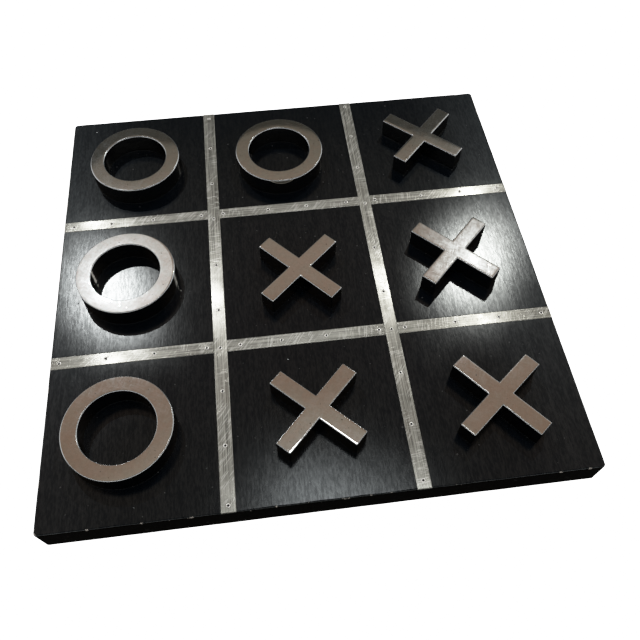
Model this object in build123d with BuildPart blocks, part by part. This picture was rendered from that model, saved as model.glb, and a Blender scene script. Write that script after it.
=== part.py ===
"""Tic tac toe set: an ebonised wooden board with pinned aluminium inlay strips,
four polished metal noughts and five polished metal crosses, all loose on the board.

Millimetres, +Z up. The origin is the centre of the board's footprint, on the surface
that the felt pads stand on. +X is the board's right, +Y its back.
"""
from build123d import *
from math import radians, tan
import os

os.makedirs("parts", exist_ok=True)

# ---------------------------------------------------------------- driving dimensions
CELL = 120.0                # side of one of the nine playing cells
STRIP_WIDTH = 10.0          # width of the inlay strips between the cells
BOARD_THICKNESS = 24.0
BOARD_CORNER_RADIUS = 3.0   # upright corners of the board
BOARD_EDGE_EASE = 1.2       # rounding of the board's top and bottom edges

STRIP_THICKNESS = 1.6
STRIP_PROUD = 0.2           # the strips stand this much above the wood
STRIP_EDGE_EASE = 0.4
STRIP_GAP = 0.2             # open line between a strip and the wood on each side
BUTT_GAP = 0.15             # open line where a short strip meets a long one
END_SETBACK = 0.3           # strip ends stop this far inside the board's side faces

PIN_RADIUS = 0.7            # shank of the countersunk panel pins that hold the strips
PIN_LENGTH = 12.0
PIN_SINK = 0.15             # a pin's head lies this far below the strip's top
PIN_HEAD_RADIUS = 1.4
PUNCH_MARK_RADIUS = 0.65    # pit that the nail punch leaves in each head
PUNCH_MARK_DEPTH = 0.6
STRIP_HOLE_RADIUS = 0.75
COUNTERSINK_RADIUS = 1.6
COUNTERSINK_ANGLE = 82.0
PILOT_CLEARANCE = 0.02      # radial, between a pin and its hole in the wood

PIECE_HEIGHT = 16.0
NOUGHT_DIAMETER = 76.0
NOUGHT_HOLE_DIAMETER = 53.0
CROSS_SPAN = 75.5           # length of each of a cross's two bars
CROSS_BAR = 12.5            # width of a bar
CROSS_CORNER_RADIUS = 0.8   # upright corners at the bar ends
PIECE_EDGE_EASE = 0.6

PAD_RADIUS = 9.0
PAD_THICKNESS = 2.5
PAD_RECESS = 1.0            # depth of the seat that each pad is glued into
PAD_SEAT_CLEARANCE = 0.2
PAD_INSET = 22.0            # pad centre to the board's side faces

# ---------------------------------------------------------------- derived dimensions
PITCH = CELL + STRIP_WIDTH                  # cell centre to cell centre
STRIP_OFFSET = (CELL + STRIP_WIDTH) / 2     # strip centre line to the board's centre
BOARD_SIZE = 3 * CELL + 2 * STRIP_WIDTH
HALF = BOARD_SIZE / 2
BOARD_BOTTOM = PAD_THICKNESS - PAD_RECESS
BOARD_TOP = BOARD_BOTTOM + BOARD_THICKNESS
STRIP_TOP = BOARD_TOP + STRIP_PROUD
STRIP_BOTTOM = STRIP_TOP - STRIP_THICKNESS
GROOVE_WIDTH = STRIP_WIDTH + 2 * STRIP_GAP
PIN_TOP = STRIP_TOP - PIN_SINK
PIN_BOTTOM = PIN_TOP - PIN_LENGTH
PIN_HEAD_DEPTH = (PIN_HEAD_RADIUS - PIN_RADIUS) / tan(radians(COUNTERSINK_ANGLE / 2))

# Each strip's pins, as distances from the board's left side face on the strips that
# run left to right, and from its back side face on the two that run front to back.
# They were set out by eye, so no two strips match.
PINS_FROM_LEFT = {
    "back_left": (8.0, 39.5, 74.0, 114.5),
    "back_centre": (133.0, 171.5, 204.5, 239.0),
    "back_right": (264.0, 304.5, 339.0, 372.5),
    "front_left": (6.5, 40.5, 76.0, 115.0),
    "front_centre": (140.0, 171.0, 205.0, 245.5),
    "front_right": (265.5, 304.5, 339.0, 372.5),
}
PINS_FROM_BACK = {
    "long_left": (6.5, 46.0, 89.5, 130.0, 179.0, 222.5, 256.0, 292.0, 333.5, 375.0),
    "long_right": (5.5, 45.5, 85.5, 128.0, 176.5, 220.5, 255.5, 293.0, 333.5, 374.0),
}

# Loose pieces: centre on the board and, for a cross, its turn from the diagonal.
NOUGHTS = {
    "back_left": (-129.0, 123.5),
    "back_centre": (-3.5, 119.5),
    "middle_left": (-133.5, 1.5),
    "front_left": (-135.0, -127.5),
}
CROSSES = {
    "centre": (1.0, -10.0, -2.2),
    "front_centre": (0.5, -129.5, 0.8),
    "back_right": (125.5, 122.5, 2.1),
    "middle_right": (125.0, -8.0, 0.0),
    "front_right": (128.0, -135.0, -6.1),
}


def strip_frame(name):
    """Centre of one inlay strip, and its size along X and along Y."""
    if name.startswith("long"):
        x = -STRIP_OFFSET if name == "long_left" else STRIP_OFFSET
        return (x, 0.0), (STRIP_WIDTH, BOARD_SIZE - 2 * END_SETBACK)
    row, column = name.split("_")
    y = STRIP_OFFSET if row == "back" else -STRIP_OFFSET
    if column == "centre":
        return (0.0, y), (CELL - 2 * BUTT_GAP, STRIP_WIDTH)
    start = STRIP_OFFSET + STRIP_WIDTH / 2 + BUTT_GAP
    end = HALF - END_SETBACK
    side = -1 if column == "left" else 1
    return (side * (start + end) / 2, y), (end - start, STRIP_WIDTH)


def pin_points(name):
    """Where one strip's pins stand."""
    x, y = strip_frame(name)[0]
    if name in PINS_FROM_BACK:
        return [(x, HALF - distance) for distance in PINS_FROM_BACK[name]]
    return [(distance - HALF, y) for distance in PINS_FROM_LEFT[name]]


def finish(piece, name):
    """Label a finished node and write it."""
    piece.part.label = name
    export_step(piece.part, "parts/" + name + ".step")


strip_names = [*PINS_FROM_BACK, *PINS_FROM_LEFT]
all_pin_points = [point for name in strip_names for point in pin_points(name)]
pad_reach = HALF - PAD_INSET
pad_points = [(x, y) for x in (-pad_reach, pad_reach) for y in (-pad_reach, pad_reach)]

# ---------------------------------------------------------------- board
with BuildPart() as board:
    with BuildSketch(Plane.XY.offset(BOARD_BOTTOM)):
        RectangleRounded(BOARD_SIZE, BOARD_SIZE, BOARD_CORNER_RADIUS)
    extrude(amount=BOARD_THICKNESS)
    rims = board.faces().sort_by(Axis.Z)[0].edges() + board.faces().sort_by(Axis.Z)[-1].edges()
    fillet(rims, BOARD_EDGE_EASE)
    # four grooves for the inlay, open at the side faces
    with BuildSketch(Plane.XY.offset(STRIP_BOTTOM)):
        with Locations((-STRIP_OFFSET, 0), (STRIP_OFFSET, 0)):
            Rectangle(GROOVE_WIDTH, BOARD_SIZE)
        with Locations((0, -STRIP_OFFSET), (0, STRIP_OFFSET)):
            Rectangle(BOARD_SIZE, GROOVE_WIDTH)
    extrude(amount=STRIP_THICKNESS, mode=Mode.SUBTRACT)
    # pilot holes for the pins
    with BuildSketch(Plane.XY.offset(PIN_BOTTOM)):
        with Locations(*all_pin_points):
            Circle(PIN_RADIUS + PILOT_CLEARANCE)
    extrude(amount=PIN_LENGTH, mode=Mode.SUBTRACT)
    # shallow seats for the felt pads
    with BuildSketch(Plane.XY.offset(BOARD_BOTTOM)):
        with Locations(*pad_points):
            Circle(PAD_RADIUS + PAD_SEAT_CLEARANCE)
    extrude(amount=PAD_RECESS, mode=Mode.SUBTRACT)
finish(board, "board")

# ---------------------------------------------------------------- felt pads
with BuildPart() as felt_pads:
    with BuildSketch(Plane.XY):
        with Locations(*pad_points):
            Circle(PAD_RADIUS)
    extrude(amount=PAD_THICKNESS)
finish(felt_pads, "felt_pads")

# ---------------------------------------------------------------- inlay strips
for name in strip_names:
    centre, footprint = strip_frame(name)
    with BuildPart() as strip:
        with BuildSketch(Plane.XY.offset(STRIP_BOTTOM)):
            with Locations(centre):
                Rectangle(*footprint)
        extrude(amount=STRIP_THICKNESS)
        fillet(strip.faces().sort_by(Axis.Z)[-1].edges(), STRIP_EDGE_EASE)
        with Locations(*[(x, y, STRIP_TOP) for x, y in pin_points(name)]):
            CounterSinkHole(
                STRIP_HOLE_RADIUS, COUNTERSINK_RADIUS, STRIP_THICKNESS, COUNTERSINK_ANGLE
            )
    finish(strip, "strip_" + name)

# ---------------------------------------------------------------- panel pins
# one pin on the board's centre line, which each strip's group repeats
with BuildPart() as pin:
    with BuildSketch(Plane.XZ):
        with BuildLine():
            Polyline(
                (0, PIN_BOTTOM),
                (PIN_RADIUS, PIN_BOTTOM),
                (PIN_RADIUS, PIN_TOP - PIN_HEAD_DEPTH),
                (PIN_HEAD_RADIUS, PIN_TOP),
                (PUNCH_MARK_RADIUS, PIN_TOP),
                (0, PIN_TOP - PUNCH_MARK_DEPTH),
                close=True,
            )
        make_face()
    revolve(axis=Axis.Z)

for name in strip_names:
    with BuildPart() as pins:
        with Locations(*pin_points(name)):
            add(pin.part)
    finish(pins, "pins_" + name)

# ---------------------------------------------------------------- noughts
for name, (x, y) in NOUGHTS.items():
    with BuildPart() as nought:
        with BuildSketch(Plane.XY.offset(BOARD_TOP)):
            with Locations((x, y)):
                Circle(NOUGHT_DIAMETER / 2)
                Circle(NOUGHT_HOLE_DIAMETER / 2, mode=Mode.SUBTRACT)
        extrude(amount=PIECE_HEIGHT)
        fillet(nought.edges().filter_by(GeomType.CIRCLE), PIECE_EDGE_EASE)
    finish(nought, "nought_" + name)

# ---------------------------------------------------------------- crosses
for name, (x, y, turn) in CROSSES.items():
    with BuildPart() as cross:
        with BuildSketch(Plane.XY.offset(BOARD_TOP)):
            with Locations(Location((x, y), 45 + turn)):
                Rectangle(CROSS_SPAN, CROSS_BAR)
                Rectangle(CROSS_BAR, CROSS_SPAN)
        extrude(amount=PIECE_HEIGHT)
        # the eight upright corners at the bar ends lie furthest from the centre
        middle = (x, y, BOARD_TOP + PIECE_HEIGHT / 2)
        corners = cross.edges().filter_by(Axis.Z).sort_by_distance(middle)[-8:]
        fillet(corners, CROSS_CORNER_RADIUS)
        faces = cross.faces().sort_by(Axis.Z)
        fillet(faces[0].edges() + faces[-1].edges(), PIECE_EDGE_EASE)
    finish(cross, "cross_" + name)
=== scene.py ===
import math
import random

import bmesh
import bpy
from mathutils import Matrix, Quaternion, Vector, noise


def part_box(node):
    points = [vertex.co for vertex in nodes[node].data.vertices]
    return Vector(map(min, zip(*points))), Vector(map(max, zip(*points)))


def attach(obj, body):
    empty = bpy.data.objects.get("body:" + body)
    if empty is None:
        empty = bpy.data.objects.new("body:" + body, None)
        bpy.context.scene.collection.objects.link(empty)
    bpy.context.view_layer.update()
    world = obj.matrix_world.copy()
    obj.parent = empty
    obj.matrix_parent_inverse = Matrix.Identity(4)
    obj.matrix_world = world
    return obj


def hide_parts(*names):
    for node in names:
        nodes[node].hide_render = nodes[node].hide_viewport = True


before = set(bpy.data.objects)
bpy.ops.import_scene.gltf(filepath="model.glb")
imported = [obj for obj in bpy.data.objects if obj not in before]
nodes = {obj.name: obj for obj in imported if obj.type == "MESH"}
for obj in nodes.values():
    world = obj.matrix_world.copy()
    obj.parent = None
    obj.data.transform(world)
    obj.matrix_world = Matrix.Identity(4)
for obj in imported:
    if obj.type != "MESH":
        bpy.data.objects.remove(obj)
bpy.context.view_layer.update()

MM = 0.001

# ---------------------------------------------------------------- sizes the frame doesn't give
BOARD_CORNER_RADIUS = 3.0 * MM      # upright corners of the slab
BOARD_EDGE_EASE = 1.2 * MM          # rounding of its top and bottom edges
BOARD_SIDE_WAVE = 0.06 * MM         # unevenness of its planed sides
GROOVE_GAP = 0.2 * MM               # open line between a strip and the wood
PILOT_RADIUS = 0.72 * MM            # hole in the wood for a pin
DENT_COUNT = 26                     # knocks in the playing face, with those left out near a strip
PAD_SEAT_CLEARANCE = 0.2 * MM
PAD_EDGE_EASE = 0.5 * MM
STRIP_EASE = 0.4 * MM               # rounding of a strip's top edges
STRIP_WAVE = 0.035 * MM             # unevenness of a strip's sanded top
STRIP_HOLE_RADIUS = 0.75 * MM
COUNTERSINK_RADIUS = 1.6 * MM
COUNTERSINK_DEPTH = 0.98 * MM
PIN_HEAD_RADIUS = 1.4 * MM
PIN_RADIUS = 0.7 * MM
PIN_HEAD_DEPTH = 0.8 * MM
PUNCH_MARK_RADIUS = 0.85 * MM       # pit that the nail punch leaves in a pin's head
PUNCH_MARK_DEPTH = 0.6 * MM
CROSS_SPAN = 75.5 * MM              # length of each of a cross's two bars
CROSS_BAR = 12.5 * MM               # width of a bar
PIECE_EASE = 0.7 * MM               # size of the broken edge round a piece's top
EDGE_POWER = 1.4                    # 1 would be a round edge, 2 a flat chamfer
CROWN = 0.015 * MM                  # drop of a piece's top from its middle line to its edges
POLISH_DIP = 0.06 * MM              # depth of the low places that polishing leaves in a top
PIECE_FACE = 3 * MM                 # height of one row of faces on a piece's walls
CUTTER_SPARE = 5 * MM               # how far a cutter stands out of what it cuts
# each cross's turn from the board's diagonals, in degrees
CROSS_TURN = {
    "cross_centre": -2.2,
    "cross_front_centre": 0.8,
    "cross_back_right": 2.1,
    "cross_middle_right": 0.0,
    "cross_front_right": -6.1,
}

strip_names = sorted(name for name in nodes if name.startswith("strip_"))
pin_names = sorted(name for name in nodes if name.startswith("pins_"))
nought_names = sorted(name for name in nodes if name.startswith("nought_"))
cross_names = sorted(name for name in nodes if name.startswith("cross_"))
board_low, board_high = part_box("board")
strip_low, strip_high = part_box("strip_long_left")
strip_width = strip_high.x - strip_low.x
strip_offset = abs(strip_high.x + strip_low.x) / 2      # strip's middle line to the board's


# ---------------------------------------------------------------- mesh helpers
def ripple(point, length, seed):
    """Smooth noise from -1 to 1 whose bumps are about length long."""
    return noise.noise(Vector(point) / length + Vector((seed * 7.3, seed * 3.1, seed * 5.7)))


def finish_mesh(bm, name, body, materials, replaced, smooth_angle=35):
    """Turns a bmesh into a piece that rides on a body and stands for CAD nodes."""
    bmesh.ops.recalc_face_normals(bm, faces=bm.faces)
    mesh = bpy.data.meshes.new(name)
    bm.to_mesh(mesh)
    bm.free()
    piece = bpy.data.objects.new(name, mesh)
    bpy.context.scene.collection.objects.link(piece)
    for material in materials:
        mesh.materials.append(material)
    for face in mesh.polygons:
        face.use_smooth = True
    mesh.set_sharp_from_angle(angle=math.radians(smooth_angle))
    weighted = piece.modifiers.new("normals", "WEIGHTED_NORMAL")
    weighted.keep_sharp = True
    weighted.weight = 80
    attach(piece, body)
    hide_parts(*replaced)
    return piece


def temporary(bm, name):
    """A bmesh as a plain object, for use as a cutter."""
    mesh = bpy.data.meshes.new(name)
    bmesh.ops.recalc_face_normals(bm, faces=bm.faces)
    bm.to_mesh(mesh)
    bm.free()
    thing = bpy.data.objects.new(name, mesh)
    bpy.context.scene.collection.objects.link(thing)
    return thing


def cut(bm, *cutters):
    """The bmesh with each cutter bmesh taken away, by exact booleans."""
    base = temporary(bm, "base")
    tools = [temporary(cutter, "cutter") for cutter in cutters]
    for tool in tools:
        modifier = base.modifiers.new("cut", "BOOLEAN")
        modifier.operation = "DIFFERENCE"
        modifier.solver = "EXACT"
        modifier.object = tool
    bpy.context.view_layer.update()
    result = bmesh.new()
    evaluated = base.evaluated_get(bpy.context.evaluated_depsgraph_get())
    result.from_mesh(evaluated.to_mesh())
    evaluated.to_mesh_clear()
    for thing in [base, *tools]:
        data = thing.data
        bpy.data.objects.remove(thing)
        bpy.data.meshes.remove(data)
    return result


def bridge(bm, lower, upper):
    """Quads between two closed loops of the same length."""
    count = len(lower)
    for i in range(count):
        j = (i + 1) % count
        bm.faces.new((lower[i], lower[j], upper[j], upper[i]))


def lathe(bm, centre, profile, segments, wobble=None):
    """Turns an open or closed (radius, z) profile round a vertical line.
    A point of radius 0 becomes a single vertex."""
    rows = []
    for radius, z in profile:
        if radius == 0:
            rows.append([bm.verts.new((centre[0], centre[1], z))])
            continue
        row = []
        for k in range(segments):
            angle = 2 * math.pi * k / segments
            point = Vector((
                centre[0] + radius * math.cos(angle), centre[1] + radius * math.sin(angle), z
            ))
            row.append(bm.verts.new(wobble(point) if wobble else point))
        rows.append(row)
    return rows


def join_rows(bm, rows, closed, material_of=None):
    """Faces between the rows of a lathe, with fans where a row is one vertex."""
    pairs = list(zip(rows, rows[1:] + rows[:1])) if closed else list(zip(rows, rows[1:]))
    for index, (a, b) in enumerate(pairs):
        if len(a) == 1 and len(b) == 1:
            continue
        count = max(len(a), len(b))
        for i in range(count):
            j = (i + 1) % count
            if len(a) == 1:
                face = bm.faces.new((a[0], b[j], b[i]))
            elif len(b) == 1:
                face = bm.faces.new((a[i], a[j], b[0]))
            else:
                face = bm.faces.new((a[i], a[j], b[j], b[i]))
            if material_of:
                face.material_index = material_of(index)


def arc(centre, radius, start, end, steps):
    """Points of an arc in the (radius, z) plane, angles in degrees."""
    points = []
    for k in range(steps + 1):
        angle = math.radians(start + (end - start) * k / steps)
        points.append((
            centre[0] + radius * math.cos(angle), centre[1] + radius * math.sin(angle)
        ))
    return points


def eased(centre, radius, start):
    """A quarter of a hand-broken edge: nearly a flat chamfer, with its two ends rounded off."""
    points = []
    for angle in (0, 12, 28, 45, 62, 78, 90):
        u, v = (math.cos(math.radians(angle)), math.sin(math.radians(angle)))
        u, v = max(0, u) ** EDGE_POWER, max(0, v) ** EDGE_POWER
        turn = Matrix.Rotation(math.radians(start), 2)
        corner = turn @ Vector((u, v)) * radius
        points.append((centre[0] + corner.x, centre[1] + corner.y))
    return points


def spaced(start, end, step):
    """Evenly spaced values from start to end, no further apart than step."""
    count = max(1, math.ceil((end - start) / step - 1e-6))
    return [start + (end - start) * k / count for k in range(count + 1)]


def island_centres(node):
    """XY centre of each separate solid of a CAD node."""
    bm = bmesh.new()
    bm.from_mesh(nodes[node].data)
    bmesh.ops.remove_doubles(bm, verts=bm.verts, dist=1e-6)
    left = set(bm.verts)
    centres = []
    while left:
        stack = [left.pop()]
        found = list(stack)
        while stack:
            for edge in stack.pop().link_edges:
                for vertex in edge.verts:
                    if vertex in left:
                        left.remove(vertex)
                        stack.append(vertex)
                        found.append(vertex)
        xs = [v.co.x for v in found]
        ys = [v.co.y for v in found]
        centres.append(((min(xs) + max(xs)) / 2, (min(ys) + max(ys)) / 2))
    bm.free()
    return sorted(centres)


pin_centres = {name: island_centres(name) for name in pin_names}
pin_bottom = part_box(pin_names[0])[0].z
pad_centres = island_centres("felt_pads")
pad_low, pad_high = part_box("felt_pads")
pad_radius = pad_high.x - max(x for x, _ in pad_centres)


# ---------------------------------------------------------------- material helpers
SCRATCH_SOFTNESS = 0.035
BLACK = (0.0, 0.0, 0.0)


class Graph:
    """Adds linked shader nodes to one new material."""

    def __init__(self, name):
        self.material = bpy.data.materials.new(name)
        self.material.use_nodes = True
        self.tree = self.material.node_tree
        self.tree.nodes.clear()
        self.coords = self.add("TexCoord").outputs["Object"]

    def put(self, socket, value):
        """Links a socket, or sets a plain value."""
        if isinstance(value, bpy.types.NodeSocket):
            self.tree.links.new(value, socket)
        elif socket.type == "RGBA" and len(value) == 3:
            socket.default_value = (*value, 1)
        else:
            socket.default_value = value

    def add(self, kind, settings=(), **inputs):
        """A shader node; input names use _ for a space."""
        node = self.tree.nodes.new("ShaderNode" + kind)
        for key, value in dict(settings).items():
            setattr(node, key, value)
        for key, value in inputs.items():
            self.put(node.inputs[key.replace("_", " ")], value)
        return node

    def math(self, operation, a, b=0.0):
        """One sum, product or other function of two numbers."""
        node = self.add("Math", {"operation": operation})
        self.put(node.inputs[0], a)
        self.put(node.inputs[1], b)
        return node.outputs[0]

    def times(self, a, b):
        return self.math("MULTIPLY", a, b)

    def axis(self, vector, index):
        """One component of a vector socket."""
        return self.add("SeparateXYZ", Vector=vector).outputs[index]

    def noise(self, scale, detail=3.0, rough=0.55, turn=0.0, shift=0.0, warp=0.0):
        """Noise in object space; scale is bumps per metre along X, Y and Z."""
        mapping = self.add(
            "Mapping", Vector=self.coords, Rotation=(0, 0, math.radians(turn)),
            Location=(shift, shift * 1.7, shift * 0.6),
        )
        stretch = self.add("VectorMath", {"operation": "MULTIPLY"})
        self.put(stretch.inputs[0], mapping.outputs[0])
        self.put(stretch.inputs[1], scale)
        node = self.add(
            "TexNoise", Vector=stretch.outputs[0], Scale=1.0, Detail=detail, Roughness=rough,
            Distortion=warp,
        )
        return node.outputs["Fac"]

    def ramp(self, value, low, high, out_low=0.0, out_high=1.0):
        """value mapped smoothly from low..high to out_low..out_high."""
        node = self.add("MapRange", {"interpolation_type": "SMOOTHSTEP"}, Value=value)
        self.put(node.inputs["From Min"], low)
        self.put(node.inputs["From Max"], high)
        self.put(node.inputs["To Min"], out_low)
        self.put(node.inputs["To Max"], out_high)
        return node.outputs[0]

    def mix(self, factor, a, b):
        """Colour a blended towards b."""
        node = self.add("Mix", {"data_type": "RGBA"})
        self.put(node.inputs["Factor"], factor)
        self.put(node.inputs[6], a)
        self.put(node.inputs[7], b)
        return node.outputs[2]

    def lerp(self, factor, a, b):
        """Number a blended towards b."""
        node = self.add("Mix", {"data_type": "FLOAT"})
        self.put(node.inputs["Factor"], factor)
        self.put(node.inputs[2], a)
        self.put(node.inputs[3], b)
        return node.outputs[0]

    def bump(self, height, distance, strength=1.0, normal=None):
        """A shading normal for a height field, over an earlier normal if one is given."""
        node = self.add("Bump", Height=height, Distance=distance, Strength=strength)
        if normal is not None:
            self.put(node.inputs["Normal"], normal)
        return node.outputs[0]

    def scratches(self, turn, across, along, keep, shift):
        """Thin scratches at an angle: 1 on a scratch, 0 elsewhere. A higher keep leaves fewer."""
        lines = self.noise((across, along, across), detail=1.0, turn=turn, shift=shift)
        return self.ramp(lines, keep, keep + SCRATCH_SOFTNESS)

    def blend(self, factor, a, b):
        """Shader node a blended towards shader node b."""
        node = self.add("MixShader", Fac=factor)
        self.tree.links.new(a.outputs[0], node.inputs[1])
        self.tree.links.new(b.outputs[0], node.inputs[2])
        return node

    def together(self, a, b):
        """The light of two shader nodes added up."""
        node = self.add("AddShader")
        self.tree.links.new(a.outputs[0], node.inputs[0])
        self.tree.links.new(b.outputs[0], node.inputs[1])
        return node

    def output(self, shader):
        """The finished material, with a shader node on its surface."""
        out = self.add("OutputMaterial")
        self.tree.links.new(shader.outputs[0], out.inputs["Surface"])
        return self.material


# ---------------------------------------------------------------- materials
def ebonised_wood():
    """Black paint rubbed into wood whose grain runs front to back, under a thin lacquer."""
    g = Graph("ebonised_wood")
    normal_z = g.axis(g.add("NewGeometry").outputs["Normal"], 2)
    top = g.ramp(normal_z, 0.5, 0.9)
    rounded_edge = g.times(g.ramp(normal_z, 0.15, 0.35), g.ramp(normal_z, 0.985, 0.95))

    fine = g.noise((1050, 260, 300), detail=1.0, shift=0.3)
    middle = g.noise((640, 60, 100), detail=2.0, shift=3.1)
    broad = g.noise((210, 14, 40), detail=2.0, shift=1.1)
    grain = g.math("ADD", g.times(fine, 0.50), g.times(middle, 0.40))
    grain = g.math("ADD", grain, g.times(broad, 0.10))
    cloud = g.noise((26, 18, 26), detail=4.0, shift=2.3)
    rubbed = g.scratches(34, 1300, 60, 0.62, 0.7)
    crossed = g.scratches(-52, 1300, 60, 0.63, 4.2)
    marks = g.math("MAXIMUM", rubbed, crossed)
    specks = g.ramp(g.noise((420, 420, 420), detail=0.0, shift=9.1), 0.83, 0.86)
    chips = g.ramp(g.noise((130, 130, 130), detail=3.0, shift=6.6), 0.60, 0.63)

    # The top's black carries a painted blue cast that offsets the brown of the surround the
    # lacquer mirrors; the sides keep a warmer black.
    side_black, top_black_painted_cool_cast = (0.0030, 0.0022, 0.0015), (0.0001, 0.0012, 0.0030)
    dust, bare_wood = (0.10, 0.10, 0.10), (0.38, 0.35, 0.31)
    colour = g.mix(top, side_black, top_black_painted_cool_cast)
    colour = g.mix(g.times(specks, 0.5), colour, dust)
    colour = g.mix(g.times(rounded_edge, chips), colour, bare_wood)
    bump = g.bump(grain, 0.03 * MM, 0.6)

    gloss = g.times(g.ramp(grain, 0.38, 0.64, 0.72, 1.30), g.lerp(top, 0.35, 1.0))
    gloss = g.times(gloss, g.lerp(marks, 1.0, 1.15))
    from_middle = g.math("ABSOLUTE", g.axis(g.coords, 0))
    handled = g.ramp(from_middle, 0.120, 0.190, 0.045, 0.15)
    worn = g.add(
        "BsdfPrincipled", Base_Color=colour, Roughness=0.38, Specular_Tint=(0.80, 0.94, 1.0),
        Specular_IOR_Level=g.times(gloss, handled), Normal=bump,
    )
    mirrored = g.times(g.add("Fresnel", IOR=1.5, Normal=bump).outputs[0], gloss)
    lacquer = g.add(
        "BsdfAnisotropic", {"distribution": "BECKMANN"},
        Color=g.mix(mirrored, BLACK, (0.84, 0.87, 0.85)),
        Roughness=g.lerp(cloud, 0.165, 0.210), Normal=bump,
    )
    return g.output(g.together(worn, lacquer))


def sanded_aluminium(along_x):
    """Flat bar rubbed down by hand along its length, with stray marks across it."""
    g = Graph("inlay_across" if along_x else "inlay_lengthwise")
    normal_z = g.axis(g.add("NewGeometry").outputs["Normal"], 2)
    edge = g.ramp(normal_z, 0.985, 0.93)

    fine = g.noise((25, 1600, 400) if along_x else (1600, 25, 400), detail=2.0, shift=0.9)
    smudge = g.noise((60, 60, 60), detail=4.0, shift=3.3)
    patch = g.noise((30, 30, 30), detail=2.0, shift=5.1)
    diagonal = g.times(g.scratches(38, 1100, 90, 0.54, 1.9), g.ramp(patch, 0.46, 0.56))
    crosswise = g.scratches(8 if along_x else 84, 1100, 110, 0.55, 6.4)
    marks = g.math("MAXIMUM", diagonal, g.times(crosswise, g.ramp(patch, 0.5, 0.4)))

    clean, dulled = (0.74, 0.74, 0.68), (0.58, 0.575, 0.50)
    bright, stained = (0.90, 0.90, 0.87), (0.30, 0.28, 0.23)
    colour = g.mix(smudge, clean, dulled)
    colour = g.mix(g.times(marks, 0.35), colour, bright)
    colour = g.mix(g.ramp(smudge, 0.66, 0.74, 0.0, 0.5), colour, stained)
    bump = g.bump(fine, 0.02 * MM, 0.5)
    bump = g.bump(marks, 0.03 * MM, 0.35, bump)

    across_strip = g.add("Tangent", {"direction_type": "UV_MAP", "uv_map": "across"}).outputs[0]
    brushed = g.add(
        "BsdfPrincipled", Base_Color=colour, Metallic=1.0,
        Roughness=g.lerp(smudge, 0.22, 0.29), Anisotropic=0.96, Normal=bump,
        Tangent=across_strip,
    )
    depth = g.times(g.ramp(fine, 0.3, 0.7, 0.87, 0.45), g.lerp(edge, 1.0, 0.3))
    depth = g.times(depth, g.lerp(marks, 1.0, 0.70))
    dull = g.add(
        "BsdfPrincipled", Base_Color=g.mix(depth, colour, BLACK), Metallic=1.0,
        Roughness=0.5, Normal=bump,
    )
    return g.output(g.blend(g.ramp(smudge, 0.35, 0.65, 0.65, 0.85), brushed, dull))


def polished_nickel():
    """Nickel plate polished by hand: bright, with a haze of fine rubbing on top and a few pits."""
    g = Graph("polished_nickel")
    normal_z = g.axis(g.add("NewGeometry").outputs["Normal"], 2)
    flat_top = g.ramp(normal_z, 0.9, 0.99)
    broken_edge = g.times(g.ramp(normal_z, 0.9995, 0.985), g.ramp(normal_z, 0.1, 0.4))

    haze = g.noise((110, 110, 110), detail=4.0, rough=0.6, shift=0.4)
    tone = g.noise((170, 170, 170), detail=2.0, shift=8.2)
    fleck = g.noise((480, 480, 480), detail=2.0, shift=4.9, warp=0.5)
    mottle = g.noise((260, 260, 260), detail=2.0, shift=2.2, warp=0.6)
    rubs = g.math(
        "ADD", g.noise((900, 170, 300), detail=2.0, turn=24, shift=5.5, warp=0.8),
        g.noise((900, 190, 300), detail=2.0, turn=-58, shift=6.5, warp=0.8),
    )
    hair = g.math(
        "MAXIMUM", g.scratches(20, 1900, 60, 0.70, 1.2), g.scratches(-63, 1900, 60, 0.71, 3.4)
    )
    pits = g.ramp(g.noise((600, 600, 600), detail=0.0, shift=7.7), 0.80, 0.84)

    warm, cool, tarnished = (0.95, 0.885, 0.83), (0.91, 0.90, 0.85), (0.45, 0.42, 0.38)
    # The walls take a far darker copy of the nickel: painted shade, so they read black beside the
    # bright tops.
    wall_painted_shade, pitted = (0.25, 0.235, 0.22), (0.25, 0.23, 0.20)
    colour = g.mix(g.ramp(tone, 0.35, 0.65), warm, cool)
    colour = g.mix(g.ramp(fleck, 0.35, 0.65, 0.14, 0.0), colour, tarnished)
    # Painted shade: the walls get the darker copy of the nickel, and the flat top keeps the bright
    # one.
    colour = g.mix(flat_top, wall_painted_shade, colour)
    colour = g.mix(pits, colour, pitted)
    bump = g.bump(g.times(mottle, flat_top), 0.02 * MM, 0.25)
    wear = g.math("SUBTRACT", g.times(hair, 0.1), g.times(pits, 0.2))
    bump = g.bump(g.times(wear, flat_top), 0.03 * MM, 0.4, bump)

    sharp = g.add(
        "BsdfAnisotropic", {"distribution": "BECKMANN"}, Color=colour,
        Roughness=g.lerp(haze, 0.015, 0.025), Normal=bump,
    )
    hazy, satin = (
        g.add(
            "BsdfPrincipled", Base_Color=(0.82, 0.88, 0.90), Metallic=1.0,
            Roughness=g.lerp(haze, *roughness), Normal=bump,
        )
        for roughness in ((0.21, 0.26), (0.12, 0.15))
    )
    rubbed = g.ramp(rubs, 0.85, 1.15, 0.60, 1.40)
    hazy_share = g.times(g.ramp(haze, 0.35, 0.65, 0.030, 0.052), rubbed)
    hazy_share = g.times(g.lerp(hair, hazy_share, 0.12), g.lerp(flat_top, 0.05, 1.0))
    hazy_share = g.lerp(broken_edge, hazy_share, 0.35)
    satin_share = g.times(g.lerp(flat_top, 0.0, 0.0055), g.ramp(fleck, 0.3, 0.7, 0.8, 1.2))
    return g.output(g.blend(satin_share, g.blend(hazy_share, sharp, hazy), satin))


def pin_steel():
    """Pin heads punched below the strip and rubbed bright."""
    g = Graph("pin_steel")
    wear = g.noise((900, 900, 900), detail=3.0)
    return g.output(g.add(
        "BsdfPrincipled", Base_Color=g.mix(wear, (0.96, 0.95, 0.91), (0.80, 0.79, 0.75)),
        Metallic=1.0, Roughness=g.lerp(wear, 0.30, 0.45), Normal=g.bump(wear, 0.03 * MM, 0.5),
    ))


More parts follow.
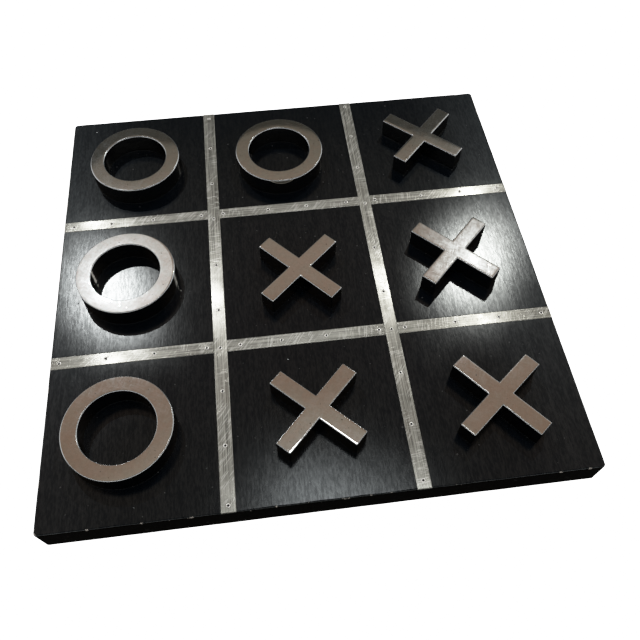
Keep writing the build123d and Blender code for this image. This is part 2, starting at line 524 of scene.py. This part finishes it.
def punch_mark_painted_shade():
    """Near-black colour in the nail punch's mark: painted shade in the recess, with a faint
    mottle.
    """
    g = Graph("punch_mark_painted_shade")
    shade_mottle = g.noise((1500, 1500, 1500), detail=2.0)
    return g.output(g.add(
        "BsdfPrincipled", Base_Color=g.mix(shade_mottle, (0.006, 0.005, 0.004), (0.02, 0.018, 0.015)),
        Roughness=0.9, Normal=g.bump(shade_mottle, 0.03 * MM, 0.6),
    ))


def wool_felt():
    """Pressed felt with matted fibres."""
    g = Graph("wool_felt")
    fibre = g.noise((2200, 2200, 500), detail=5.0, rough=0.7, warp=1.5)
    tuft = g.noise((400, 400, 400), detail=3.0)
    return g.output(g.add(
        "BsdfPrincipled", Base_Color=g.mix(fibre, (0.025, 0.025, 0.027), (0.085, 0.085, 0.09)),
        Roughness=0.95, Sheen_Weight=0.4, Sheen_Roughness=0.6, Specular_IOR_Level=0.2,
        Normal=g.bump(g.math("ADD", fibre, tuft), 0.15 * MM, 0.8),
    ))


wood = ebonised_wood()
strip_metal = {True: sanded_aluminium(True), False: sanded_aluminium(False)}
nickel = polished_nickel()
steel = pin_steel()
pit = punch_mark_painted_shade()
felt = wool_felt()


# ---------------------------------------------------------------- board
def rounded_square(half, radius, step):
    """Points round a square with rounded corners, with the outward direction at each."""
    points = []
    straight = spaced(-(half - radius), half - radius, step)
    for quarter in range(4):
        turn = Matrix.Rotation(math.pi / 2 * quarter, 2)
        for y in straight:
            points.append((turn @ Vector((half, y)), turn @ Vector((1, 0))))
        for k in range(1, 5):
            angle = math.pi / 2 * k / 5
            out = Vector((math.cos(angle), math.sin(angle)))
            corner = Vector((half - radius, half - radius))
            points.append((turn @ (corner + out * radius), turn @ out))
    return points


def bar(bm, low, high):
    """A plain box between two corners."""
    corners = [
        bm.verts.new((x, y, z)) for z in (low[2], high[2])
        for x, y in ((low[0], low[1]), (high[0], low[1]), (high[0], high[1]), (low[0], high[1]))
    ]
    bm.faces.new(corners[3::-1])
    bm.faces.new(corners[4:])
    bridge(bm, corners[:4], corners[4:])


def groove_cutters():
    """Two sets of bars that cut the grooves which the strips lie in."""
    cutters = []
    reach = board_high.x + CUTTER_SPARE
    for across in (True, False):
        bm = bmesh.new()
        axis = 1 if across else 0
        near_edges = {
            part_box(name)[0][axis] for name in strip_names if ("long" not in name) == across
        }
        for edge in sorted(near_edges):
            low = [-reach, -reach, strip_low.z]
            high = [reach, reach, board_high.z + CUTTER_SPARE]
            low[axis] = edge - GROOVE_GAP
            high[axis] = edge + strip_width + GROOVE_GAP
            bar(bm, low, high)
        cutters.append(bm)
    return cutters


def hole_cutter(centres, profile, segments):
    """The same turned shape at each centre."""
    bm = bmesh.new()
    for centre in centres:
        join_rows(bm, lathe(bm, centre, profile, segments), closed=False)
    return bm


def dent_cutter():
    """Small shallow knocks scattered over the wood, clear of the strips."""
    bm = bmesh.new()
    dice = random.Random(11)
    for _ in range(DENT_COUNT):
        x, y = (dice.uniform(-0.97, 0.97) * board_high.x for _ in range(2))
        if min(abs(abs(x) - strip_offset), abs(abs(y) - strip_offset)) < 9 * MM:
            continue
        size = dice.uniform(0.5, 1.1) * MM
        depth = 0.22 * size
        rows = lathe(bm, (x, y), [
            (0, board_high.z - depth), (0.5 * size, board_high.z - 0.6 * depth),
            (size, board_high.z + 0.2 * depth), (0, board_high.z + depth),
        ], 10)
        join_rows(bm, rows, closed=False)
    return bm


def board_point(point, out, inset, share, place):
    """A point of the slab's skin. On its lower and upper rounding, inset and share are shares
    of the rounding's radius; on its side, share is a share of the slab's thickness."""
    level = (point.x, point.y, 0)
    ease = BOARD_EDGE_EASE * (1 + 0.3 * ripple(level, 14 * MM, 1))
    if place == "low":
        z = board_low.z + ease * share
    elif place == "high":
        ease *= 1 + 0.9 * max(0, ripple(level, 5 * MM, 2) - 0.35)
        z = board_high.z - ease * share
    else:
        z = board_low.z + (board_high.z - board_low.z) * share
    xy = point - out * (ease * inset)
    if place == "side":
        xy -= out * BOARD_SIDE_WAVE * (1 + ripple((point.x, point.y, z), 30 * MM, 3)) / 2
    return xy.x, xy.y, z


def make_board():
    """The slab, with uneven rounded edges, dents, grooves, pilot holes and pad seats."""
    outline = rounded_square(board_high.x, BOARD_CORNER_RADIUS, 4 * MM)
    steps = 5
    quarter = [
        (1 - math.sin(math.pi / 2 * k / steps), 1 - math.cos(math.pi / 2 * k / steps))
        for k in range(steps + 1)
    ]
    levels = [(inset, share, "low") for inset, share in quarter]
    levels += [(0, share, "side") for share in (0.2, 0.4, 0.6, 0.8)]
    levels += [(inset, share, "high") for inset, share in reversed(quarter)]
    bm = bmesh.new()
    loops = [
        [bm.verts.new(board_point(point, out, *level)) for point, out in outline]
        for level in levels
    ]
    for lower, upper in zip(loops, loops[1:]):
        bridge(bm, lower, upper)
    bm.faces.new(loops[0][::-1])
    bm.faces.new(loops[-1])

    pilot_holes = hole_cutter(
        [centre for name in pin_names for centre in pin_centres[name]], [
            (0, pin_bottom), (PILOT_RADIUS, pin_bottom), (PILOT_RADIUS, strip_high.z),
            (0, strip_high.z),
        ], 16)
    seat_radius = pad_radius + PAD_SEAT_CLEARANCE
    pad_seats = hole_cutter(pad_centres, [
        (0, -CUTTER_SPARE), (seat_radius, -CUTTER_SPARE), (seat_radius, pad_high.z),
        (0, pad_high.z),
    ], 48)
    bm = cut(bm, *groove_cutters(), pilot_holes, pad_seats, dent_cutter())
    return finish_mesh(bm, "ebonised_board", "board", [wood], ["board"])


# ---------------------------------------------------------------- strips and pins
def make_strip(name, holes):
    """A flat bar with eased edges and a countersunk hole for each pin."""
    low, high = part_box(name)
    along_x = high.x - low.x > high.y - low.y
    rounding = (0, 0.15, 0.5, 1)

    def lines(start, end):
        """Grid lines: close together on the rounded edges and wider apart between them."""
        near = [start + STRIP_EASE * share for share in rounding]
        far = [end - STRIP_EASE * share for share in reversed(rounding)]
        return near[:-1] + spaced(near[-1], far[0], 2.4 * MM) + far[1:]

    def height(x, y):
        """The strip's top at one place, rounded down at its edges and slightly wavy."""
        to_edge_x = max(0, STRIP_EASE - min(x - low.x, high.x - x))
        to_edge_y = max(0, STRIP_EASE - min(y - low.y, high.y - y))
        inside = max(0, STRIP_EASE ** 2 - to_edge_x ** 2 - to_edge_y ** 2)
        wave = STRIP_WAVE * (1 + ripple((x, y, 0), 24 * MM, 4)) / 2
        return high.z - STRIP_EASE + math.sqrt(inside) - wave

    bm = bmesh.new()
    xs, ys = lines(low.x, high.x), lines(low.y, high.y)
    grid = [[bm.verts.new((x, y, height(x, y))) for y in ys] for x in xs]
    for i in range(len(xs) - 1):
        for j in range(len(ys) - 1):
            bm.faces.new((grid[i][j], grid[i + 1][j], grid[i + 1][j + 1], grid[i][j + 1]))
    rim = [row[0] for row in grid] + grid[-1][1:]
    rim += [row[-1] for row in reversed(grid[:-1])] + grid[0][-2:0:-1]
    foot = [bm.verts.new((v.co.x, v.co.y, low.z)) for v in rim]
    bridge(bm, foot, rim)
    bm.faces.new(foot[::-1])

    bm = cut(bm, hole_cutter(holes, [
        (0, low.z - MM), (STRIP_HOLE_RADIUS, low.z - MM),
        (STRIP_HOLE_RADIUS, high.z - COUNTERSINK_DEPTH), (COUNTERSINK_RADIUS, high.z),
        (COUNTERSINK_RADIUS, high.z + MM), (0, high.z + MM),
    ], 24))
    # the first UV axis runs across the strip, for the brushed metal's highlights
    layer = bm.loops.layers.uv.new("across")
    for face in bm.faces:
        for loop in face.loops:
            x, y = loop.vert.co.x, loop.vert.co.y
            loop[layer].uv = (y, -x) if along_x else (x, y)
    return finish_mesh(
        bm, "inlay_" + name.removeprefix("strip_"), "board",
        [strip_metal[along_x]], [name], smooth_angle=30,
    )


def make_pins(name, centres):
    """One strip's pins, each with a point, a conical head and a punched pit."""
    low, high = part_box(name)
    point_and_head = [
        (0, low.z), (0.45 * PIN_RADIUS, low.z + 0.2 * MM), (PIN_RADIUS, low.z + 1.4 * MM),
        (PIN_RADIUS, high.z - PIN_HEAD_DEPTH), (PIN_HEAD_RADIUS, high.z - 0.06 * MM),
        (PIN_HEAD_RADIUS - 0.08 * MM, high.z), (PUNCH_MARK_RADIUS + 0.12 * MM, high.z),
    ]
    punched = [
        (PUNCH_MARK_RADIUS, high.z - 0.08 * MM),
        (0.55 * PUNCH_MARK_RADIUS, high.z - 0.75 * PUNCH_MARK_DEPTH),
        (0, high.z - PUNCH_MARK_DEPTH),
    ]
    bm = bmesh.new()
    for centre in centres:
        rows = lathe(bm, centre, point_and_head + punched, 24)
        # The punch marks take the near-black painted-shade material.
        join_rows(
            bm, rows, closed=False, material_of=lambda row: int(row >= len(point_and_head))
        )
    return finish_mesh(
        bm, "panel_" + name, "board", [steel, pit], [name], smooth_angle=40
    )


# ---------------------------------------------------------------- loose pieces
def polished_top(low, high, seed, to_edge, half_width):
    """A function that moves a piece's points as hand polishing does: the top crowns down towards
    its edges and dips a little here and there. to_edge gives a point's distance from the
    nearest edge of the top."""
    def move(point):
        """The point, lowered by a share that grows from the piece's foot to its top."""
        level = (point.x, point.y, 0)
        crown = CROWN * (1 - min(1, max(0, to_edge(point)) / half_width)) ** 2
        dip = POLISH_DIP * (1 + ripple(level, 60 * MM, seed)) / 2
        point.z -= (crown + dip) * (point.z - low) / (high - low)
        return point
    return move


def make_nought(name, seed):
    """A ring with eased edges."""
    low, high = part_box(name)
    centre = (low + high) / 2
    outer = (high.x - low.x) / 2
    inner = min(
        math.hypot(v.co.x - centre.x, v.co.y - centre.y) for v in nodes[name].data.vertices
    )
    ease = PIECE_EASE
    walls = spaced(low.z + ease, high.z - ease, PIECE_FACE)
    profile = arc((outer - ease, low.z + ease), ease, -90, 0, 5)
    profile += [(outer, z) for z in walls[1:-1]]
    profile += eased((outer - ease, high.z - ease), ease, 0)
    profile += [(r, high.z) for r in reversed(spaced(inner + ease, outer - ease, 1.5 * MM)[1:-1])]
    profile += eased((inner + ease, high.z - ease), ease, 90)
    profile += [(inner, z) for z in reversed(walls[1:-1])]
    profile += arc((inner + ease, low.z + ease), ease, 180, 270, 5)

    def to_edge(point):
        """Distance from the nearer of the ring's two walls."""
        radius = math.hypot(point.x - centre.x, point.y - centre.y)
        return min(radius - inner, outer - radius)

    bm = bmesh.new()
    rows = lathe(
        bm, centre, profile, 168,
        polished_top(low.z, high.z, seed, to_edge, (outer - inner) / 2),
    )
    join_rows(bm, rows, closed=True)
    return finish_mesh(bm, "ring_" + name.removeprefix("nought_"), name, [nickel], [name])


def make_cross(name, seed):
    """Two crossed bars in one piece, with eased edges."""
    low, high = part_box(name)
    centre = (low + high) / 2
    half, bar_half = CROSS_SPAN / 2, CROSS_BAR / 2
    grid_step = 2 * MM
    lines = spaced(-half, -bar_half, grid_step)[:-1] + spaced(-bar_half, bar_half, grid_step)
    lines += spaced(bar_half, half, grid_step)[1:]
    heights = spaced(low.z, high.z, PIECE_FACE)
    bm = bmesh.new()

    def sheet(z):
        """The cross's outline at one height, as a grid of faces."""
        made = {}
        faces = []
        for i, (u0, u1) in enumerate(zip(lines, lines[1:])):
            for j, (v0, v1) in enumerate(zip(lines, lines[1:])):
                if abs(u0 + u1) / 2 > bar_half and abs(v0 + v1) / 2 > bar_half:
                    continue
                corners = ((i, j), (i + 1, j), (i + 1, j + 1), (i, j + 1))
                for a, b in corners:
                    if (a, b) not in made:
                        made[a, b] = bm.verts.new((lines[a], lines[b], z))
                faces.append(bm.faces.new([made[c] for c in corners]))
        return made, faces

    top, top_faces = sheet(high.z)
    bottom, _ = sheet(low.z)
    key_of = {vertex: key for key, vertex in top.items()}
    walls = {}

    def column(key):
        """The upright line of points below one corner of the top."""
        if key not in walls:
            middle = [
                bm.verts.new((lines[key[0]], lines[key[1]], z)) for z in heights[1:-1]
            ]
            walls[key] = [bottom[key], *middle, top[key]]
        return walls[key]

    for edge in [e for f in top_faces for e in f.edges if len(e.link_faces) == 1]:
        a, b = (column(key_of[v]) for v in edge.verts)
        for k in range(len(heights) - 1):
            bm.faces.new((a[k], b[k], b[k + 1], a[k + 1]))
    bmesh.ops.recalc_face_normals(bm, faces=bm.faces)
    outer_edges = [
        edge for edge in bm.edges if edge.calc_face_angle_signed(0) > math.radians(60)
    ]
    bmesh.ops.bevel(
        bm, geom=outer_edges, offset=PIECE_EASE, offset_type="OFFSET", segments=5, profile=0.38,
        affect="EDGES", miter_inner="SHARP", clamp_overlap=False,
    )
    turn = Matrix.Rotation(math.radians(45 + CROSS_TURN[name]), 4, "Z")
    place = Matrix.Translation((centre.x, centre.y, 0)) @ turn
    bmesh.ops.transform(bm, matrix=place, verts=bm.verts)
    unplace = place.inverted()

    def to_edge(point):
        """Distance from the nearest edge of the bar that the point is on."""
        u, v, _ = (abs(c) for c in unplace @ point)
        short, long = min(u, v), max(u, v)
        if long < bar_half:
            return bar_half
        return min(bar_half - short, half - long)

    polish = polished_top(low.z, high.z, seed, to_edge, bar_half)
    for vertex in bm.verts:
        vertex.co = polish(vertex.co.copy())
    return finish_mesh(bm, name.replace("cross_", "x_"), name, [nickel], [name])


def make_pads():
    """Felt discs with soft, slightly ragged edges."""
    ease = PAD_EDGE_EASE
    profile = [(0, pad_low.z)]
    profile += [(pad_radius * share, pad_low.z) for share in (0.3, 0.6, 0.85)]
    profile += arc((pad_radius - ease, pad_low.z + ease), ease, -90, 0, 4)
    profile += [(pad_radius, pad_low.z + 1.2 * MM), (pad_radius, pad_high.z), (0, pad_high.z)]
    bm = bmesh.new()
    for number, centre in enumerate(pad_centres):
        def fuzz(point):
            """The point, drawn in by up to a fortieth of its distance from the middle."""
            out = Vector((point.x - centre[0], point.y - centre[1], 0))
            return point - out * 0.012 * (1 + ripple(point, 1.3 * MM, number))

        rows = lathe(bm, centre, profile, 72, fuzz)
        join_rows(bm, rows, closed=False)
    return finish_mesh(bm, "felt_discs", "board", [felt], ["felt_pads"], smooth_angle=50)


make_board()
for name in strip_names:
    make_strip(name, pin_centres[name.replace("strip_", "pins_")])
for name in pin_names:
    make_pins(name, pin_centres[name])
make_pads()
for seed, name in enumerate(nought_names):
    make_nought(name, seed + 10)
for seed, name in enumerate(cross_names):
    make_cross(name, seed + 20)


# ---------------------------------------------------------------- floor, lights and camera
SWEEP_START = 4.0               # distance from the middle where the floor starts to curve up
SWEEP_RADIUS = 1.5
BACKDROP_HEIGHT = 7.0
LENS = 36.9                     # focal length in millimetres, for a 36 mm wide sensor
CAMERA_PLACE = (-0.0213, -0.3130, 0.4286)       # height is above the playing face
CAMERA_AIM = (0.01195, -0.0509)                 # the point of the playing face it looks at
CAMERA_ROLL = 0.222                             # degrees
# brightest value that the display curve takes, and its points from shade to highlight
CURVE_WHITE = 2.0
CURVE_POINTS = (
    (0.05, 0.10), (0.15, 0.30), (0.25, 0.50), (0.35, 0.67), (0.50, 0.84), (0.65, 0.94),
    (0.80, 0.985),
)


def make_floor():
    """A plain near-white floor under the felt pads, swept up all round into a backdrop.
    The object doesn't mirror it, and it casts no shadow and gives no light."""
    sweep = arc((SWEEP_START, SWEEP_RADIUS), SWEEP_RADIUS, -90, 0, 12)
    sweep = [(0, 0), (1.0, 0)] + sweep + [(SWEEP_START + SWEEP_RADIUS, BACKDROP_HEIGHT)]
    bm = bmesh.new()
    join_rows(bm, lathe(bm, (0, 0), sweep, 64), closed=False)
    mesh = bpy.data.meshes.new("floor")
    bm.to_mesh(mesh)
    bm.free()
    floor = bpy.data.objects.new("floor", mesh)
    bpy.context.scene.collection.objects.link(floor)
    g = Graph("floor_white")
    glow = g.add("Emission", Color=(1.0, 1.0, 1.0), Strength=2.0)
    plain = g.add("BsdfDiffuse", Color=(0.8, 0.8, 0.8))
    mesh.materials.append(g.output(g.together(glow, plain)))
    floor.visible_glossy = False
    floor.visible_diffuse = False
    floor.visible_shadow = False


def lamp(name, place, size, watts, colour):
    """An area lamp turned to the middle of the board: a disc, or a rectangle if size is a pair."""
    data = bpy.data.lights.new(name, "AREA")
    if isinstance(size, tuple):
        data.shape = "RECTANGLE"
        data.size, data.size_y = size
    else:
        data.shape = "DISK"
        data.size = size
    data.energy = watts
    data.color = colour
    thing = bpy.data.objects.new(name, data)
    bpy.context.scene.collection.objects.link(thing)
    thing.location = place
    thing.rotation_mode = "QUATERNION"
    to_board = Vector((0, 0, board_high.z)) - Vector(place)
    thing.rotation_quaternion = to_board.to_track_quat("-Z", "Y")


def make_world():
    """What the metal and the lacquer mirror: a dim brown upper part behind and above, a dark
    front and sides, and bands of light low down all round, the brightest of them in front."""
    world = bpy.data.worlds.new("room")
    bpy.context.scene.world = world
    world.use_nodes = True
    tree = world.node_tree
    tree.nodes.clear()
    coords = tree.nodes.new("ShaderNodeTexCoord")
    split = tree.nodes.new("ShaderNodeSeparateXYZ")
    tree.links.new(coords.outputs["Generated"], split.inputs[0])

    def ramp(stops):
        """Colours at their elevations above the horizon, in degrees, blended between them."""
        node = tree.nodes.new("ShaderNodeValToRGB")
        elements = node.color_ramp.elements
        while len(elements) < len(stops):
            elements.new(0.5)
        for element, (elevation, colour) in zip(elements, stops):
            element.position = max(0.0, math.sin(math.radians(elevation)))
            element.color = (*colour, 1)
        tree.links.new(split.outputs[2], node.inputs[0])
        return node.outputs[0]

    def grey(level):
        return (level, level, level)

    overhead = (0.24, 0.22, 0.20)
    behind = ramp([
        (0, grey(0.03)), (8, grey(0.25)), (28, grey(0.25)),
        (34, (0.036, 0.035, 0.030)), (41.8, (0.036, 0.034, 0.028)),
        (42.4, (0.120, 0.106, 0.086)), (46, (0.180, 0.150, 0.120)),
        (53, (0.225, 0.175, 0.140)), (61, (0.195, 0.139, 0.104)), (64.5, (0.200, 0.150, 0.116)),
        (67, (0.23, 0.19, 0.152)), (76, (0.25, 0.22, 0.19)), (90, overhead),
    ])
    front = ramp([
        (0, grey(0.01)), (14, grey(0.10)), (21, grey(0.5)), (27, grey(2.0)), (34, grey(2.0)),
        (38, grey(0.02)), (74, grey(0.02)), (90, overhead),
    ])
    sides = ramp([(0, grey(0.9)), (5, grey(1.3)), (28, grey(1.3)), (36, grey(0.03))])

    def blend(along, start, end, a, b):
        """Blends from a to b as a direction's component goes from start to end."""
        share = tree.nodes.new("ShaderNodeMapRange")
        tree.links.new(along, share.inputs[0])
        share.inputs["From Min"].default_value = start
        share.inputs["From Max"].default_value = end
        mix = tree.nodes.new("ShaderNodeMix")
        mix.data_type = "RGBA"
        tree.links.new(share.outputs[0], mix.inputs["Factor"])
        tree.links.new(a, mix.inputs[6])
        tree.links.new(b, mix.inputs[7])
        return mix.outputs[2]

    sideways = tree.nodes.new("ShaderNodeMath")
    sideways.operation = "ABSOLUTE"
    tree.links.new(split.outputs[0], sideways.inputs[0])
    behind_and_sides = blend(sideways.outputs[0], 0.55, 0.75, behind, sides)
    colour = blend(split.outputs[1], -0.25, 0.05, front, behind_and_sides)
    background = tree.nodes.new("ShaderNodeBackground")
    tree.links.new(colour, background.inputs["Color"])
    output = tree.nodes.new("ShaderNodeOutputWorld")
    tree.links.new(background.outputs[0], output.inputs["Surface"])


def make_camera():
    """A camera above the front edge, looking down at the board."""
    data = bpy.data.cameras.new("camera")
    data.sensor_width = 36.0
    data.lens = LENS
    camera = bpy.data.objects.new("camera", data)
    bpy.context.scene.collection.objects.link(camera)
    place = Vector(CAMERA_PLACE) + Vector((0, 0, board_high.z))
    aim = Vector((*CAMERA_AIM, board_high.z))
    roll = Quaternion((0, 0, 1), math.radians(CAMERA_ROLL))
    camera.location = place
    camera.rotation_mode = "QUATERNION"
    camera.rotation_quaternion = (aim - place).to_track_quat("-Z", "Y") @ roll
    data.clip_start = 0.01
    bpy.context.scene.camera = camera


def roll_off_highlights():
    """The plain display transform, with whites that bend over instead of clipping."""
    view = bpy.context.scene.view_settings
    view.view_transform = "Standard"
    view.use_curve_mapping = True
    mapping = view.curve_mapping
    mapping.white_level = (CURVE_WHITE, CURVE_WHITE, CURVE_WHITE)
    combined = mapping.curves[3]
    for x, y in CURVE_POINTS:
        combined.points.new(x, y)
    mapping.update()


make_floor()
make_world()
# two small hard lamps behind make the two patches of sheen; the others are soft fill
lamp("lamp_back_left", (-0.750, 1.430, 2.05), 0.03, 10.8, (0.97, 0.98, 1.0))
lamp("glow_back_left", (-0.780, 1.500, 2.05), 0.70, 0.36, (0.90, 0.96, 1.0))
lamp("lamp_back_right", (0.905, 1.400, 2.05), 0.03, 11.0, (1.0, 1.0, 0.98))
lamp("lamp_overhead", (0.13, 0.28, 2.05), (0.50, 0.35), 3.4, (0.92, 0.96, 1.0))
make_camera()
roll_off_highlights()
